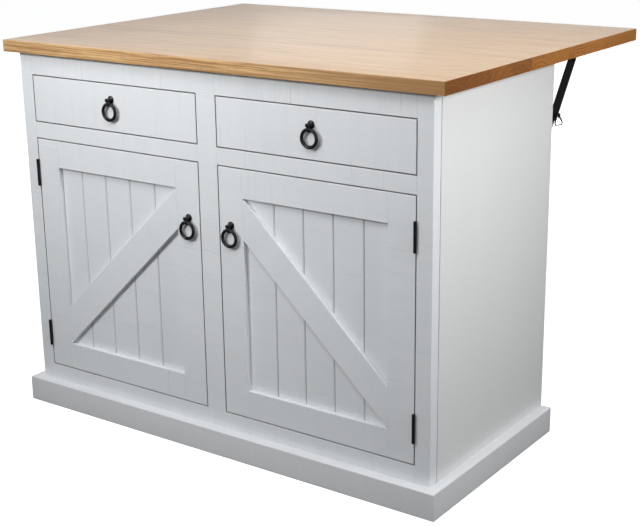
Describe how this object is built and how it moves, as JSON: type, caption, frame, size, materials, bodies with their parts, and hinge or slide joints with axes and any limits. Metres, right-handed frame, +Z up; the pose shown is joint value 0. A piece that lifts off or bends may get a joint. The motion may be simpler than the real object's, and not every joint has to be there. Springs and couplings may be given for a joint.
{
  "type": "drop leaf kitchen island",
  "caption": "Painted kitchen island with inset drawers over braced plank doors, an oak top and a rear leaf that folds up on locking brackets.",
  "frame": {"origin": "middle of the footprint on the floor, with the leaf raised", "axes": "+X along the top's long edge to the right of someone facing the doors, +Y to the back where the leaf is, +Z up"},
  "size_m": [1.205, 0.92, 0.914],
  "materials": {
    "painted_wood": "cool white satin paint over rough-sawn boards",
    "oak_top": "clear satin lacquer on edge-glued oak staves",
    "inner_wood": "clear sealed pale board",
    "drawer_wood": "clear sealed birch",
    "black_iron": "black semi-gloss powder coat",
    "zinc_steel": "bright zinc plate",
    "catch_plastic": "moulded matt plastic"
  },
  "bodies": {
    "cabinet": {"face_stile_left": "painted_wood", "face_stile_right": "painted_wood", "face_stile_centre": "painted_wood", "face_rail_top": "painted_wood", "face_rails_middle": "painted_wood", "face_rail_bottom": "painted_wood", "side_panel_left": "painted_wood", "side_panel_right": "painted_wood", "back_panel": "painted_wood", "plinth_front": "painted_wood", "plinth_sides": "painted_wood", "centre_partition": "inner_wood", "bottom_panel": "inner_wood", "carcass_rails": "inner_wood", "shelves": "inner_wood", "runner_packers": "inner_wood", "worktop": "oak_top", "shelf_pins": "zinc_steel", "runner_channels": "zinc_steel", "hinge_frame_leaves": "black_iron", "hinge_pins": "black_iron", "bracket_wall_legs": "black_iron", "bracket_pivot_pins": "black_iron", "bracket_wall_screws": "black_iron", "door_catches": "catch_plastic"},
    "door_left": {"door_left_stiles": "painted_wood", "door_left_rails": "painted_wood", "door_left_boards": "painted_wood", "door_left_brace": "painted_wood", "door_left_hinge_leaves": "black_iron", "door_left_pull_post": "black_iron", "door_left_strike": "zinc_steel"},
    "door_ring_left": {"door_left_pull_ring": "black_iron"},
    "drawer_left": {"drawer_left_front": "painted_wood", "drawer_left_box": "drawer_wood", "drawer_left_slides": "zinc_steel", "drawer_left_pull_post": "black_iron"},
    "drawer_ring_left": {"drawer_left_pull_ring": "black_iron"},
    "door_right": {"door_right_stiles": "painted_wood", "door_right_rails": "painted_wood", "door_right_boards": "painted_wood", "door_right_brace": "painted_wood", "door_right_hinge_leaves": "black_iron", "door_right_pull_post": "black_iron", "door_right_strike": "zinc_steel"},
    "door_ring_right": {"door_right_pull_ring": "black_iron"},
    "drawer_right": {"drawer_right_front": "painted_wood", "drawer_right_box": "drawer_wood", "drawer_right_slides": "zinc_steel", "drawer_right_pull_post": "black_iron"},
    "drawer_ring_right": {"drawer_right_pull_ring": "black_iron"},
    "leaf": {"drop_leaf": "oak_top", "bracket_arms": "black_iron", "bracket_arm_screws": "black_iron"},
    "lower_link_left": {"bracket_left_lower_link": "black_iron"},
    "upper_link_left": {"bracket_left_upper_link": "black_iron"},
    "release_loop_left": {"bracket_left_release_loop": "black_iron"},
    "lower_link_right": {"bracket_right_lower_link": "black_iron"},
    "upper_link_right": {"bracket_right_upper_link": "black_iron"},
    "release_loop_right": {"bracket_right_release_loop": "black_iron"}
  },
  "joints": [
    {"name": "door_hinge_left", "type": "hinge", "parent": "cabinet", "child": "door_left", "pos_m": [-0.53075, -0.4394, 0.392], "axis": [0, 0, -1], "range_deg": [0, 110]},
    {"name": "drawer_slide_left", "type": "slide", "parent": "cabinet", "child": "drawer_left", "axis": [0, -1, 0], "range_m": [0, 0.36]},
    {"name": "door_ring_swing_left", "type": "hinge", "parent": "door_left", "child": "door_ring_left", "pos_m": [-0.0605, -0.443, 0.542], "axis": [-1, 0, 0], "range_deg": [-6, 160]},
    {"name": "drawer_ring_swing_left", "type": "hinge", "parent": "drawer_left", "child": "drawer_ring_left", "pos_m": [-0.2795, -0.443, 0.7875], "axis": [-1, 0, 0], "range_deg": [-6, 160]},
    {"name": "door_hinge_right", "type": "hinge", "parent": "cabinet", "child": "door_right", "pos_m": [0.53075, -0.4394, 0.392], "axis": [0, 0, 1], "range_deg": [0, 110]},
    {"name": "drawer_slide_right", "type": "slide", "parent": "cabinet", "child": "drawer_right", "axis": [0, -1, 0], "range_m": [0, 0.36]},
    {"name": "door_ring_swing_right", "type": "hinge", "parent": "door_right", "child": "door_ring_right", "pos_m": [0.0605, -0.443, 0.542], "axis": [-1, 0, 0], "range_deg": [-6, 160]},
    {"name": "drawer_ring_swing_right", "type": "hinge", "parent": "drawer_right", "child": "drawer_ring_right", "pos_m": [0.2795, -0.443, 0.7875], "axis": [-1, 0, 0], "range_deg": [-6, 160]},
    {"name": "leaf_fold", "type": "hinge", "parent": "cabinet", "child": "leaf", "pos_m": [0, 0.103, 0.868], "axis": [-1, 0, 0], "range_deg": [0, 90]},
    {"name": "lower_link_turn_left", "type": "hinge", "parent": "cabinet", "child": "lower_link_left", "pos_m": [-0.5349, 0.103, 0.674], "axis": [-1, 0, 0], "range_deg": [0, 143.81]},
    {"name": "upper_link_turn_left", "type": "hinge", "parent": "leaf", "child": "upper_link_left", "pos_m": [-0.5383, 0.245, 0.868], "axis": [1, 0, 0], "range_deg": [0, 126.21]},
    {"name": "release_loop_swing_left", "type": "hinge", "parent": "upper_link_left", "child": "release_loop_left", "pos_m": [-0.543, 0.16671, 0.74411], "axis": [-1, 0, 0], "range_deg": [0, 80.54]},
    {"name": "lower_link_turn_right", "type": "hinge", "parent": "cabinet", "child": "lower_link_right", "pos_m": [0.5349, 0.103, 0.674], "axis": [-1, 0, 0], "range_deg": [0, 143.81]},
    {"name": "upper_link_turn_right", "type": "hinge", "parent": "leaf", "child": "upper_link_right", "pos_m": [0.5383, 0.245, 0.868], "axis": [1, 0, 0], "range_deg": [0, 126.21]},
    {"name": "release_loop_swing_right", "type": "hinge", "parent": "upper_link_right", "child": "release_loop_right", "pos_m": [0.543, 0.16671, 0.74411], "axis": [-1, 0, 0], "range_deg": [0, 80.54]}
  ],
  "couplings": [
    {"joint": "lower_link_turn_left", "follows": "leaf_fold", "ratio": 1.5977},
    {"joint": "upper_link_turn_left", "follows": "leaf_fold", "ratio": 1.4023},
    {"joint": "release_loop_swing_left", "follows": "leaf_fold", "ratio": 0.89476},
    {"joint": "lower_link_turn_right", "follows": "leaf_fold", "ratio": 1.5977},
    {"joint": "upper_link_turn_right", "follows": "leaf_fold", "ratio": 1.4023},
    {"joint": "release_loop_swing_right", "follows": "leaf_fold", "ratio": 0.89476}
  ]
}
